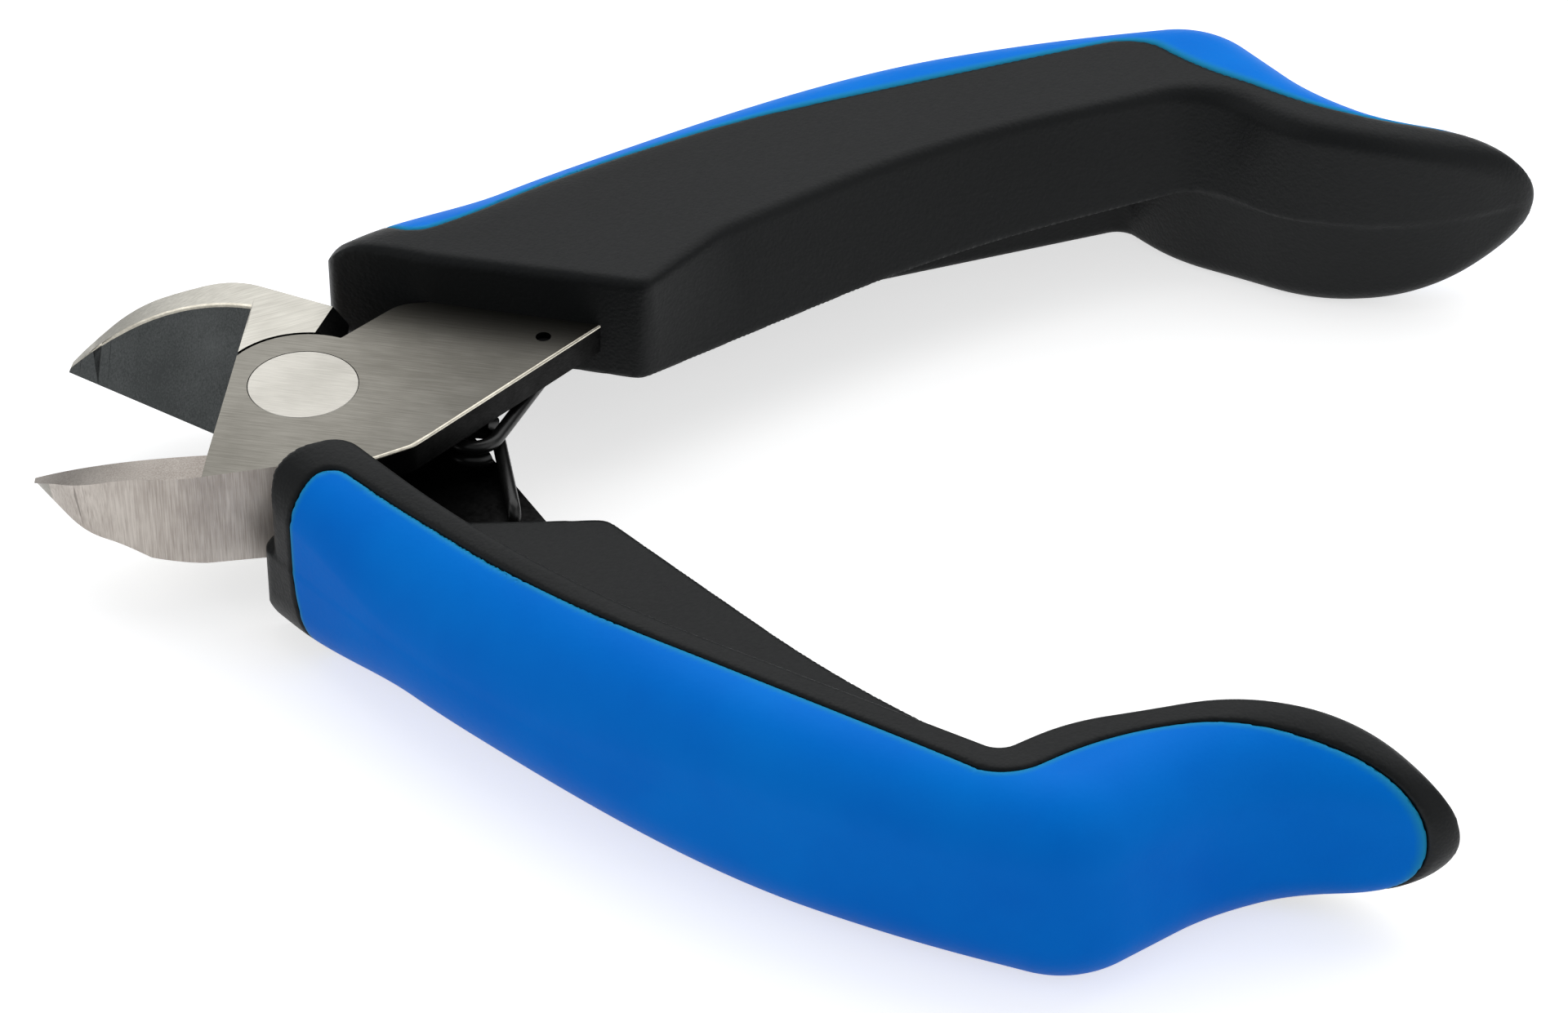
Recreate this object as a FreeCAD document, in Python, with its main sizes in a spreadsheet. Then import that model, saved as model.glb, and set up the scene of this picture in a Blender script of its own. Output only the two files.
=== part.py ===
import FreeCAD, Part
import math
import os
import Sketcher

# Spring-loaded side cutters with a riveted lap joint and two-colour grips, in millimetres.
#
# The part is drawn open, as its spring leaves it. While it is drawn, the pivot axis is the Z axis and
# the middle of the lap joint is z = 0: the jaws point along -X and the handles along +X. Every
# sub-part is then placed so that the origin is under the middle of the open tool, on the surface
# it lies on.
#
# The "upper" lever has its half of the joint above z = 0, its tang runs to the +Y handle and it
# carries the -Y jaw. The "lower" lever is the same lever turned half a turn about the X axis,
# except for the jaws, which mirror each other.

V = FreeCAD.Vector
TURNED_OVER = FreeCAD.Rotation(V(1, 0, 0), 180)

doc = FreeCAD.newDocument("side_cutters")
sheet = doc.addObject("Spreadsheet::Sheet", "Sizes")

# ---------------------------------------------------------------- driving dimensions
SIZES = [
    # the lap joint and the steel
    ("head_thickness", 10.0, "steel thickness through the joint and the jaws"),
    ("plate_thickness", 2.8, "tang, thinner than its half of the joint to make room for the spring"),
    ("disc_radius", 7.6, "round boss of each half about the pivot"),
    ("joint_clearance", 0.3, "round the boss, to the other half's jaw"),
    ("lap_clearance", 0.02, "each half of the joint stops this short of z = 0"),
    ("jaw_open_angle", 19.0, "each cutting edge from the closed line, in degrees"),
    ("edge_clearance", 0.06, "from the closed line to each edge when the jaws shut"),
    # the rivet
    ("rivet_head_diameter", 10.0, "flush head"),
    ("rivet_head_depth", 1.4, "head and riveted-over tail"),
    ("rivet_shank_diameter", 7.2, "shank"),
    ("rivet_tail_diameter", 9.0, "flush tail"),
    ("rivet_clearance", 0.03, "running fit in the half that turns on it"),
    # the jaws
    ("edge_tip_reach", 24.4, "pivot to the tip end of a cutting edge"),
    ("edge_tip_height", -1.3, "height of the edge at its tip"),
    ("edge_root_reach", 9.6, "pivot to where the edge is measured near the root"),
    ("edge_root_height", -3.6, "height of the edge there"),
    ("bevel_rim_height", 4.4, "height of the bevel's outer rim, where it is highest"),
    ("bevel_rim_reach", 15.8, "pivot to that point of the rim"),
    ("bevel_rim_angle", 46.5, "its direction from the closed line, in degrees"),
    ("step_distance", 6.65, "pivot to the step wall behind the bevels"),
    ("nose_arc_radius", 27.5, "side view of the jaw's top, which drops to the tip"),
    ("nose_arc_start", 6.0, "pivot to where that drop begins"),
    ("belly_height", -4.6, "underside of the jaws"),
    # the spring: one wire, wound once and a half between the tangs
    ("wire_diameter", 1.3, "round spring wire"),
    ("coil_distance", 15.3, "pivot to the coil's axis"),
    ("coil_radius", 2.2, "to the middle of the wire"),
    ("coil_turn", 298.0, "how far each arm goes round the coil, in degrees"),
    ("coil_gap", 0.15, "between the two arms' turns, along the axis"),
    ("anchor_x", 20.3, "hole in the tang that holds the leg's bent end"),
    ("anchor_y", 9.3, "the same"),
    ("anchor_clearance", 0.05, "round the bent end in its hole, and under the leg"),
    ("hook_bend", 1.2, "radius of the bend at the end of each leg"),
    ("hook_recess", 0.6, "the bent end stops this far inside the tang's outer face"),
    # the grips
    ("grip_thickness", 20.0, "across both faces"),
    ("flange_height", 0.3, "the wide half of each grip starts this far beyond z = 0"),
    ("edge_round", 0.9, "rounding of the hard core's edges"),
    ("sleeve_round", 6.3, "bullnose of the soft sleeve's outer side"),
    ("sleeve_wall", 2.6, "soft layer over the hard core"),
    ("tongue_round", 2.0, "rounding of the core under the sleeve"),
    ("lobe_taper_start", 84.0, "pivot to where the lobe starts to thin"),
    ("lobe_end", 107.5, "pivot to the end of the lobe"),
]

# Corners of the outlines, on the upper lever: distance along X, distance along Y, corner radius.
CORNERS = [
    # steel plate of the upper half
    ("jaw_shoulder", -6.65, -12.5, 0.3), ("disc_front", -6.65, 3.0, 0.3),
    ("disc_back", -3.0, 6.4, 1.0), ("neck_root", 2.0, 7.0, 1.5), ("neck", 6.6, 12.9, 3.5),
    ("tang_entry", 12.0, 14.2, 6.0), ("tang_shoulder", 38.0, 36.5, 4.0), ("tang_end_outer", 52.0, 43.0, 3.0),
    ("tang_end_inner", 56.0, 37.0, 3.0), ("tang_heel", 27.2, 14.4, 3.0), ("tang_corner", 11.3, -8.0, 3.0),
    ("heel_belly", 7.6, -10.6, 4.0), ("shoulder_back", 0.8, -12.2, 1.5),
    # jaw, drawn for +Y
    ("jaw_tip", -24.0, 7.6, 0.8), ("jaw_cheek", -17.8, 12.9, 12.0), ("jaw_crown", -9.3, 15.4, 9.0),
    ("jaw_shoulder_end", 0.9, 11.9, 0.5), ("jaw_root", 0.9, 3.0, 0.2), ("jaw_inner", -6.65, 1.2, 0.2),
    # hard core, the wide half that holds the tang
    ("nose_back", -0.7, 17.9, 1.6), ("nose_front", 0.3, 15.4, 1.0), ("slot_mouth", 9.6, 13.6, 25.0),
    ("heel", 29.8, 11.5, 1.2), ("inner_bow", 53.8, 33.0, 120.0), ("crotch", 77.9, 46.7, 0.8),
    ("lobe_start", 83.7, 40.9, 6.0), ("lobe_belly", 96.5, 40.3, 28.0), ("tip_inner", 107.4, 46.6, 1.1),
    ("tip_outer", 107.2, 48.9, 1.2), ("hollow", 89.6, 48.6, 17.0), ("hump", 76.2, 62.0, 9.3),
    ("back", 31.7, 49.4, 145.0),
    # hard core, the narrow half
    ("rim_nose", 7.0, 14.0, 1.5), ("rim_bow", 25.0, 31.2, 120.0), ("rim_crotch", 68.1, 51.6, 0.8),
    ("rim_flank", 73.2, 47.2, 6.0), ("rim_lobe", 86.4, 41.6, 8.0), ("rim_belly", 97.2, 41.2, 20.0),
    # the wall that bounds the bullnose, beyond the grip on every side but the palm's
    ("bull_nose", -14.0, 5.0, 8.0), ("bull_inner_nose", -14.0, -22.0, 8.0),
    ("bull_inner_tip", 128.0, 10.0, 8.0), ("bull_tip", 128.0, 49.0, 8.0),
    # the core's tongue under the sleeve
    ("tongue_nose", 7.0, 20.6, 2.2), ("tongue_front", 12.0, 15.0, 2.2),
    ("tongue_inner", 40.0, 36.0, 60.0), ("tongue_bend", 72.0, 48.0, 5.0),
    ("tongue_tip", 88.0, 41.5, 2.2), ("tongue_hollow", 88.0, 46.2, 2.2), ("tongue_hump", 75.4, 58.4, 6.7),
    ("tongue_back", 33.0, 46.6, 110.0),
    # the line where the soft sleeve starts
    ("seam_nose", 3.4, 20.2, 1.2), ("seam_front", 7.2, 17.8, 1.2), ("seam_bow", 32.0, 37.8, 120.0),
    ("seam_bend", 69.3, 55.8, 5.0), ("seam_hollow", 83.8, 45.7, 14.0), ("seam_end", 104.4, 45.4, 1.5),
    ("palm_tip", 104.4, 75.0, 2.0), ("palm_nose", 3.4, 75.0, 2.0),
]


def fill_sheet():
    row = 1
    for alias, value, note in SIZES:
        put_cell(row, alias, value, note)
        row += 1
    for name, along, out, radius in CORNERS:
        put_cell(row, name + "_x", along, "corner, along X")
        put_cell(row + 1, name + "_y", out, "corner, along Y")
        put_cell(row + 2, name + "_round", radius, "radius of this corner")
        row += 3
    doc.recompute()


def put_cell(row, alias, value, note):
    sheet.set("A%d" % row, alias)
    sheet.set("B%d" % row, str(value))
    sheet.set("C%d" % row, note)
    sheet.setAlias("B%d" % row, alias)


def size(alias):
    return float(sheet.get(alias))


fill_sheet()


# ---------------------------------------------------------------- sketches with rounded corners
def corner(name, mirror=1):
    return V(size(name + "_x"), mirror * size(name + "_y"), 0)


def corner_arcs(names, mirror):
    """For each corner: where its arc starts, the arc's centre, where it ends, and if it turns left."""
    arcs = []
    count = len(names)
    for index, name in enumerate(names):
        here = corner(name, mirror)
        back = corner(names[index - 1], mirror) - here
        ahead = corner(names[(index + 1) % count], mirror) - here
        half_angle = back.getAngle(ahead) / 2
        radius = size(name + "_round")
        cut = radius / math.tan(half_angle)
        back.normalize()
        ahead.normalize()
        bisector = (back + ahead).normalize()
        centre = here + bisector * (radius / math.sin(half_angle))
        turns_left = ahead.cross(back).z > 0
        arcs.append((here + back * cut, centre, here + ahead * cut, turns_left))
    for index in range(count):
        side = corner(names[(index + 1) % count], mirror) - corner(names[index], mirror)
        run = arcs[(index + 1) % count][0] - arcs[index][2]
        if run.dot(side) <= 0:
            raise ValueError("the arcs at %s and the next corner overlap" % names[index])
    return arcs


def arc_between(start, centre, end, turns_left):
    """The short arc between two points; a sketch wants every arc to run anticlockwise."""
    if not turns_left:
        start, end = end, start
    circle = Part.Circle(centre, V(0, 0, 1), (start - centre).Length)
    angles = [math.atan2((point - centre).y, (point - centre).x) for point in (start, end)]
    return Part.ArcOfCircle(circle, *angles)


def outline_sketch(body, name, names, height, mirror=1):
    """A closed outline: straight runs joined by tangent arcs, every corner bound to the sheet."""
    sketch = body.newObject("Sketcher::SketchObject", name)
    sketch.AttachmentSupport = [(origin_plane(body, "XY_Plane"), "")]
    sketch.MapMode = "FlatFace"
    sketch.setExpression("AttachmentOffset.Base.z", height)
    arcs = corner_arcs(names, mirror)
    count = len(names)
    lines = [Part.LineSegment(arcs[i][2], arcs[(i + 1) % count][0]) for i in range(count)]
    rounds = [arc_between(*arc) for arc in arcs]
    sketch.addGeometry(lines + rounds, False)
    points = sketch.addGeometry([Part.Point(corner(n, mirror)) for n in names], True)
    constraints = []
    bindings = []
    for i, corner_name in enumerate(names):
        arc = count + i
        first, last = (1, 2) if arcs[i][3] else (2, 1)
        before = (i - 1) % count
        place = corner(corner_name, mirror)
        constraints.append(Sketcher.Constraint("Tangent", before, 2, arc, first))
        constraints.append(Sketcher.Constraint("Tangent", i, 1, arc, last))
        constraints.append(Sketcher.Constraint("PointOnObject", points[i], 1, before))
        constraints.append(Sketcher.Constraint("PointOnObject", points[i], 1, i))
        for kind, value, expression in [
            ("Radius", size(corner_name + "_round"), "Sizes.%s_round" % corner_name),
            ("DistanceX", place.x, "Sizes.%s_x" % corner_name),
            ("DistanceY", place.y, "%d * Sizes.%s_y" % (mirror, corner_name)),
        ]:
            bindings.append((len(constraints), expression))
            where = (arc, value) if kind == "Radius" else (points[i], 1, value)
            constraints.append(Sketcher.Constraint(kind, *where))
    sketch.addConstraint(constraints)
    for number, expression in bindings:
        sketch.setExpression("Constraints[%d]" % number, expression)
    return sketch


def circle_sketch(body, name, radius, height, center=("0", "0")):
    sketch = body.newObject("Sketcher::SketchObject", name)
    sketch.AttachmentSupport = [(origin_plane(body, "XY_Plane"), "")]
    sketch.MapMode = "FlatFace"
    for axis, expression in zip("xyz", center + (height,)):
        sketch.setExpression("AttachmentOffset.Base." + axis, expression)
    sketch.addGeometry(Part.Circle(V(0, 0, 0), V(0, 0, 1), 1), False)
    sketch.addConstraint([
        Sketcher.Constraint("Coincident", 0, 3, -1, 1),
        Sketcher.Constraint("Radius", 0, 1),
    ])
    sketch.setExpression("Constraints[1]", radius)
    return sketch


def origin_plane(body, role):
    return next(item for item in body.Origin.OriginFeatures if item.Role == role)


def pad(body, sketch, length):
    feature = body.newObject("PartDesign::Pad", sketch.Name + "Pad")
    feature.Profile = sketch
    feature.setExpression("Length", length)
    doc.recompute()
    return feature


def pocket_up(body, sketch, length):
    """Cut upwards from the sketch, and make sure that something was cut."""
    before = body.Shape.Volume
    feature = body.newObject("PartDesign::Pocket", sketch.Name + "Pocket")
    feature.Profile = sketch
    feature.Reversed = True
    feature.setExpression("Length", length)
    doc.recompute()
    if body.Shape.Volume >= before - 1e-6:
        raise ValueError(sketch.Name + " cuts nothing")
    return feature


def combine(kind, name, base, tool):
    feature = doc.addObject("Part::" + kind, name)
    feature.Base = base
    feature.Tool = tool
    return feature


# ---------------------------------------------------------------- the steel and its rivet
PLATE = ["jaw_shoulder", "disc_front", "disc_back", "neck_root", "neck", "tang_entry", "tang_shoulder",
         "tang_end_outer", "tang_end_inner", "tang_heel", "tang_corner", "heel_belly", "shoulder_back"]
JAW = ["jaw_tip", "jaw_cheek", "jaw_crown", "jaw_shoulder_end", "jaw_root", "jaw_inner"]
REACH = 100.0  # longer than any piece of the tool, for cutting blocks


def steel_blank(name):
    """One half before grinding, as the upper lever has it: plate, disc, full-thickness jaw, holes."""
    body = doc.addObject("PartDesign::Body", name + "_blank")
    plate = outline_sketch(body, name + "_plate", PLATE,
                           "Sizes.head_thickness / 2 - Sizes.plate_thickness")
    pad(body, plate, "Sizes.plate_thickness")
    disc = circle_sketch(body, name + "_disc", "Sizes.disc_radius", "Sizes.lap_clearance")
    pad(body, disc, "Sizes.head_thickness / 2 - Sizes.lap_clearance")
    jaw = outline_sketch(body, name + "_jaw", JAW, "-Sizes.head_thickness / 2", -1)
    pad(body, jaw, "Sizes.head_thickness")
    room = circle_sketch(body, name + "_room_for_disc", "Sizes.disc_radius + Sizes.joint_clearance",
                         "-Sizes.head_thickness / 2")
    pocket_up(body, room, "Sizes.head_thickness / 2 + Sizes.lap_clearance")
    hole = circle_sketch(body, name + "_spring_hole",
                         "Sizes.wire_diameter / 2 + Sizes.anchor_clearance", "0",
                         ("Sizes.anchor_x", "Sizes.anchor_y"))
    pocket_up(body, hole, "Sizes.head_thickness")
    return body


def edge_point(which, jaw_side):
    """A point of one jaw's cutting edge."""
    angle = math.radians(size("jaw_open_angle"))
    reach = size("edge_%s_reach" % which)
    gap = size("edge_clearance")
    return V(-reach * math.cos(angle) - gap * math.sin(angle),
             jaw_side * (reach * math.sin(angle) + gap * math.cos(angle)),
             size("edge_%s_height" % which))


def half_space(name, points, upward):
    """A block standing on the plane through three points, on its upper or its lower side."""
    first, second, third = points
    normal = (second - first).cross(third - first).normalize()
    if (normal.z > 0) != upward:
        normal = -normal
    block = doc.addObject("Part::Box", name)
    block.Length = block.Width = block.Height = REACH
    rotation = FreeCAD.Rotation(V(0, 0, 1), normal)
    to_centre = rotation.multVec(V(REACH / 2, REACH / 2, 0))
    block.Placement = FreeCAD.Placement(first - to_centre, rotation)
    return block


def front_block(name, distance):
    """Everything in front of a wall that stands this far before the pivot."""
    block = doc.addObject("Part::Box", name)
    block.Length = block.Width = block.Height = REACH
    block.setExpression("Placement.Base.x", "-%s - %f" % (distance, REACH))
    block.Placement.Base.y = -REACH / 2
    block.Placement.Base.z = -REACH / 2
    return block


def grind_jaw(name, blank, jaw_side):
    """The bevel down to the cutting edge, the relief under it and the top that falls to the tip."""
    rim_angle = math.radians(size("bevel_rim_angle"))
    rim_x = -size("bevel_rim_reach") * math.cos(rim_angle)
    rim_y = jaw_side * size("bevel_rim_reach") * math.sin(rim_angle)
    tip = edge_point("tip", jaw_side)
    root = edge_point("root", jaw_side)
    rim = V(rim_x, rim_y, size("bevel_rim_height"))
    belly = V(rim_x, rim_y, size("belly_height"))
    step = front_block(name + "_before_step", "Sizes.step_distance")
    bevel = combine("Common", name + "_bevel", step,
                    half_space(name + "_bevel_plane", [tip, root, rim], True))
    relief = combine("Common", name + "_relief", step,
                     half_space(name + "_relief_plane", [tip, root, belly], False))
    arc = doc.addObject("Part::Cylinder", name + "_nose_arc")
    arc.Height = REACH
    arc.Placement = FreeCAD.Placement(V(0, REACH / 2, 0), FreeCAD.Rotation(V(1, 0, 0), 90))
    arc.setExpression("Radius", "Sizes.nose_arc_radius")
    arc.setExpression("Placement.Base.x", "-Sizes.nose_arc_start")
    arc.setExpression("Placement.Base.z", "Sizes.head_thickness / 2 - Sizes.nose_arc_radius")
    falling = combine("Cut", name + "_falling_top",
                      front_block(name + "_before_nose", "Sizes.nose_arc_start"), arc)
    ground = blank
    for stage, waste in enumerate([bevel, relief, falling]):
        ground = combine("Cut", "%s_ground_%d" % (name, stage), ground, waste)
    return ground


def turned_stack(name, discs):
    """Coaxial discs on the pivot axis: radius, lower face and thickness, as expressions."""
    body = doc.addObject("PartDesign::Body", name)
    for number, (radius, bottom, thickness) in enumerate(discs):
        sketch = circle_sketch(body, "%s_disc_%d" % (name, number), radius, bottom)
        pad(body, sketch, thickness)
    return body


def make_rivet():
    half = "Sizes.head_thickness / 2"
    return turned_stack("rivet", [
        ("Sizes.rivet_shank_diameter / 2", "-" + half, "Sizes.head_thickness"),
        ("Sizes.rivet_head_diameter / 2", half + " - Sizes.rivet_head_depth", "Sizes.rivet_head_depth"),
        ("Sizes.rivet_tail_diameter / 2", "-" + half, "Sizes.rivet_head_depth"),
    ])


def make_rivet_room():
    """The bore and countersink in the half that turns on the rivet."""
    half = "Sizes.head_thickness / 2"
    gap = " + Sizes.rivet_clearance"
    return turned_stack("rivet_room", [
        ("Sizes.rivet_shank_diameter / 2" + gap, "-1", "Sizes.head_thickness"),
        ("Sizes.rivet_head_diameter / 2" + gap,
         half + " - Sizes.rivet_head_depth - Sizes.rivet_clearance", "Sizes.head_thickness"),
    ])


# ---------------------------------------------------------------- the spring
def spring_arm():
    """Half of the wire spring: an end bent down into the lower tang, a leg, and its turn of the coil."""
    wire = size("wire_diameter") / 2
    level = -wire - size("coil_gap") / 2
    hook = V(size("anchor_x"), -size("anchor_y"), level)
    hook_bottom = V(hook.x, hook.y, -size("head_thickness") / 2 + size("hook_recess"))
    axis = V(size("coil_distance"), 0, level)
    radius = size("coil_radius")
    bend = size("hook_bend")
    across = hook - axis
    start_angle = math.atan2(across.y, across.x) + math.acos(radius / across.Length)
    end_angle = start_angle + math.radians(size("coil_turn"))
    circle = Part.Circle(axis, V(0, 0, 1), radius)
    start = circle.value(start_angle)
    leg = (start - hook).normalize()
    below = V(hook.x, hook.y, level - bend)
    beside = hook + leg * bend
    centre = below + leg * bend
    middle = centre + (hook - centre).normalize() * bend
    path = Part.Wire([
        Part.makeLine(hook_bottom, below),
        Part.Arc(below, middle, beside).toShape(),
        Part.makeLine(beside, start),
        Part.ArcOfCircle(circle, start_angle, end_angle).toShape(),
    ])
    profile = Part.Wire([Part.makeCircle(wire, hook_bottom, V(0, 0, 1))])
    return path.makePipeShell([profile], True, False)


# ---------------------------------------------------------------- the grips
WIDE = ["nose_back", "nose_front", "slot_mouth", "heel", "inner_bow", "crotch", "lobe_start",
        "lobe_belly", "tip_inner", "tip_outer", "hollow", "hump", "back"]
NARROW = ["nose_back", "rim_nose", "rim_bow", "rim_crotch", "rim_flank", "rim_lobe", "rim_belly",
          "tip_inner", "tip_outer", "hollow", "hump", "back"]
PALM = ["seam_nose", "seam_front", "seam_bow", "seam_bend", "seam_hollow", "seam_end",
        "palm_tip", "palm_nose"]
BULLNOSE = ["bull_nose", "bull_inner_nose", "bull_inner_tip", "bull_tip", "hollow", "hump", "back"]
TONGUE = ["tongue_nose", "tongue_front", "tongue_inner", "tongue_bend", "tongue_tip", "tongue_hollow",
          "tongue_hump", "tongue_back"]


def rounded_slab(name, names, bottom, height, radius, rounded_faces):
    """An outline padded between two heights, its level edges rounded on the named faces."""
    body = doc.addObject("PartDesign::Body", name)
    slab = pad(body, outline_sketch(body, name + "_outline", names, bottom), height)
    low, high = slab.Shape.BoundBox.ZMin, slab.Shape.BoundBox.ZMax
    levels = [{"top": high, "bottom": low}[face] for face in rounded_faces]
    edges = []
    for number, edge in enumerate(slab.Shape.Edges, 1):
        extent = edge.BoundBox
        if extent.ZLength < 1e-6 and any(abs(extent.ZMin - level) < 1e-6 for level in levels):
            edges.append("Edge%d" % number)
    rounding = body.newObject("PartDesign::Fillet", name + "_rounding")
    rounding.Base = (slab, edges)
    rounding.setExpression("Radius", radius)
    doc.recompute()
    return body


def lobe_side_view():
    """What the side view leaves of a grip: level faces, then an ellipse that closes the lobe."""
    half = size("grip_thickness") / 2
    start = size("lobe_taper_start")
    reach = size("lobe_end") - start
    if reach > half:
        ellipse = Part.Ellipse(V(start + reach, 0, 0), V(start, 0, half), V(start, 0, 0))
    else:
        ellipse = Part.Ellipse(V(start, 0, half), V(start + reach, 0, 0), V(start, 0, 0))
    back = -REACH / 2
    disc = Part.Face(Part.Wire([ellipse.toShape()]))
    slab = Part.Face(Part.makePolygon([V(back, 0, -half), V(start, 0, -half), V(start, 0, half),
                                       V(back, 0, half), V(back, 0, -half)]))
    side = disc.fuse(slab).removeSplitter()
    prism = side.extrude(V(0, REACH, 0))
    return prism


def make_grip():
    """Both halves of one grip as a single blank, then parted into soft sleeve and hard core."""
    half = "Sizes.grip_thickness / 2"
    split = "-Sizes.flange_height"
    wide = rounded_slab("wide_half", WIDE, split, half + " + Sizes.flange_height",
                        "Sizes.edge_round", ["top"])
    narrow = rounded_slab("narrow_half", NARROW, "-" + half, half + " - Sizes.flange_height",
                          "Sizes.edge_round", ["bottom"])
    both = combine("Fuse", "grip_halves", wide, narrow)
    bullnose = rounded_slab("bullnose", BULLNOSE, "-" + half, "Sizes.grip_thickness",
                            "Sizes.sleeve_round", ["top", "bottom"])
    rounded = combine("Common", "grip_rounded", both, bullnose)
    side_view = doc.addObject("Part::Feature", "lobe_side_view")
    side_view.Shape = lobe_side_view()
    blank = combine("Common", "grip_blank", rounded, side_view)
    palm = doc.addObject("PartDesign::Body", "palm_region")
    pad(palm, outline_sketch(palm, "palm_outline", PALM, "-Sizes.grip_thickness"),
        "2 * Sizes.grip_thickness")
    tongue = rounded_slab("tongue", TONGUE, "-%s + Sizes.sleeve_wall" % half,
                          "Sizes.grip_thickness - 2 * Sizes.sleeve_wall", "Sizes.tongue_round",
                          ["top", "bottom"])
    palm_side = combine("Common", "palm_side", blank, palm)
    sleeve = combine("Cut", "sleeve", palm_side, tongue)
    core = combine("Cut", "core_blank", blank, sleeve)
    return sleeve, core


# ---------------------------------------------------------------- the whole tool
def build_steel():
    """Both ground halves and the rivet that holds them together."""
    rivet = make_rivet()
    upper = grind_jaw("upper", steel_blank("upper"), -1)
    upper = combine("Cut", "upper_bored", upper, make_rivet_room())
    lower_blank = steel_blank("lower")
    lower_blank.Placement = FreeCAD.Placement(V(0, 0, 0), TURNED_OVER)
    lower = grind_jaw("lower", lower_blank, 1)
    lower = combine("Cut", "lower_bored", lower, rivet)
    return upper, lower, rivet


def place_in_tool(label, feature, middle, turned=False):
    """Stand the piece in the open tool: origin under the middle, on the surface it lies on."""
    rotation = TURNED_OVER if turned else FreeCAD.Rotation()
    piece = doc.addObject("Part::Compound", label)
    piece.Links = [feature]
    piece.Placement = FreeCAD.Placement(V(-middle, 0, size("grip_thickness") / 2), rotation)
    return piece


def build_tool():
    upper, lower, rivet = build_steel()
    sleeve, core = make_grip()
    core = combine("Cut", "core_with_slot", core, steel_blank("slot_tang"))
    arm = doc.addObject("Part::Feature", "spring_arm")
    arm.Shape = spring_arm()
    doc.recompute()
    front = upper.Shape.optimalBoundingBox().XMin
    end = core.Shape.optimalBoundingBox().XMax
    middle = (front + end) / 2
    return [
        place_in_tool("upper_blade", upper, middle),
        place_in_tool("lower_blade", lower, middle),
        place_in_tool("pivot_rivet", rivet, middle),
        place_in_tool("spring_lower_arm", arm, middle),
        place_in_tool("spring_upper_arm", arm, middle, turned=True),
        place_in_tool("upper_grip_core", core, middle),
        place_in_tool("upper_grip_sleeve", sleeve, middle),
        place_in_tool("lower_grip_core", core, middle, turned=True),
        place_in_tool("lower_grip_sleeve", sleeve, middle, turned=True),
    ]


def check_and_write(sub_parts):
    doc.recompute()
    for item in doc.Objects:
        if "Invalid" in item.State or "Error" in item.State:
            raise RuntimeError("%s failed: %s" % (item.Name, item.State))
    for piece in sub_parts:
        if piece.Shape.isNull() or not piece.Shape.isValid():
            raise RuntimeError(piece.Label + " has no valid shape")
    os.makedirs("parts", exist_ok=True)
    for piece in sub_parts:
        piece.Shape.exportStep("parts/%s.step" % piece.Label)
        print("%-20s %8.1f mm3, %d solid" % (piece.Label, piece.Shape.Volume, len(piece.Shape.Solids)))


check_and_write(build_tool())
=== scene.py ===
# %% [markdown]
# # Spring-loaded side cutters, opened by their spring
#
# The tool is two steel levers, lapped and riveted like scissors. Each carries one bevelled jaw in
# front and a two-colour grip behind. A small wire spring between the tangs pushes the handles apart.
# The frame gives every piece its place and its motion. This lesson adds what the eye judges:
# soft moulded edges, ground steel, two plastics and a plain studio.

# %% Load the frame and keep its size
import math

import bmesh
import bpy
from mathutils import Matrix, Vector


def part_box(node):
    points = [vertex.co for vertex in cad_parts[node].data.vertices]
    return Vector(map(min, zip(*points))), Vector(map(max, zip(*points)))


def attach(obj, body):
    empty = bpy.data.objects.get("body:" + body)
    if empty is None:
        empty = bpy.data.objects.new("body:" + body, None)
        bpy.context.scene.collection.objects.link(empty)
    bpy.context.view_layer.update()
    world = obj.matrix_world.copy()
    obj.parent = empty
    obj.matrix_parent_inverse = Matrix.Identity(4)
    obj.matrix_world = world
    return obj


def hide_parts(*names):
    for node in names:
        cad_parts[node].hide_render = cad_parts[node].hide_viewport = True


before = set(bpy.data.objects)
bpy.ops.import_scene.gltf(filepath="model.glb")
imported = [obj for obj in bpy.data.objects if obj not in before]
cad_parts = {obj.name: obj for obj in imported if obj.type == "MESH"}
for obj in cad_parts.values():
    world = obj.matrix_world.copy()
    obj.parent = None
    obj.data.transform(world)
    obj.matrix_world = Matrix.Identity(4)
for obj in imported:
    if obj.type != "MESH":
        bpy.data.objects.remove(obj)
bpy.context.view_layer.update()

rivet_low, rivet_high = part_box("pivot_rivet")
pivot = Vector([(a + b) / 2 for a, b in zip(rivet_low, rivet_high)])
MM = 0.001

# %% [markdown]
# ## Where the camera stands
#
# A tool this size is shot with a long lens from some distance, so that its parallel edges stay
# almost parallel. The camera is placed by an aim point, the direction to it, its distance and a
# small roll. Building its axes by hand makes that order plain: backwards, right, up.

# %% Camera
AIM = Vector((44.115, -7.025, 0.0))   # millimetres from the pivot
AZIMUTH = math.radians(8.376)
ELEVATION = math.radians(37.155)
ROLL = math.radians(-1.554)
DISTANCE = 824.59
LENS = 214.1
SENSOR = 36.0
FAR_CLIP = 10           # metres

backwards = Vector((math.sin(AZIMUTH) * math.cos(ELEVATION),
                    -math.cos(AZIMUTH) * math.cos(ELEVATION),
                    math.sin(ELEVATION)))
level_right = (-backwards).cross(Vector((0, 0, 1))).normalized()
level_up = level_right.cross(-backwards)
camera_right = level_right * math.cos(ROLL) + level_up * math.sin(ROLL)
camera_up = level_up * math.cos(ROLL) - level_right * math.sin(ROLL)

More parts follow.
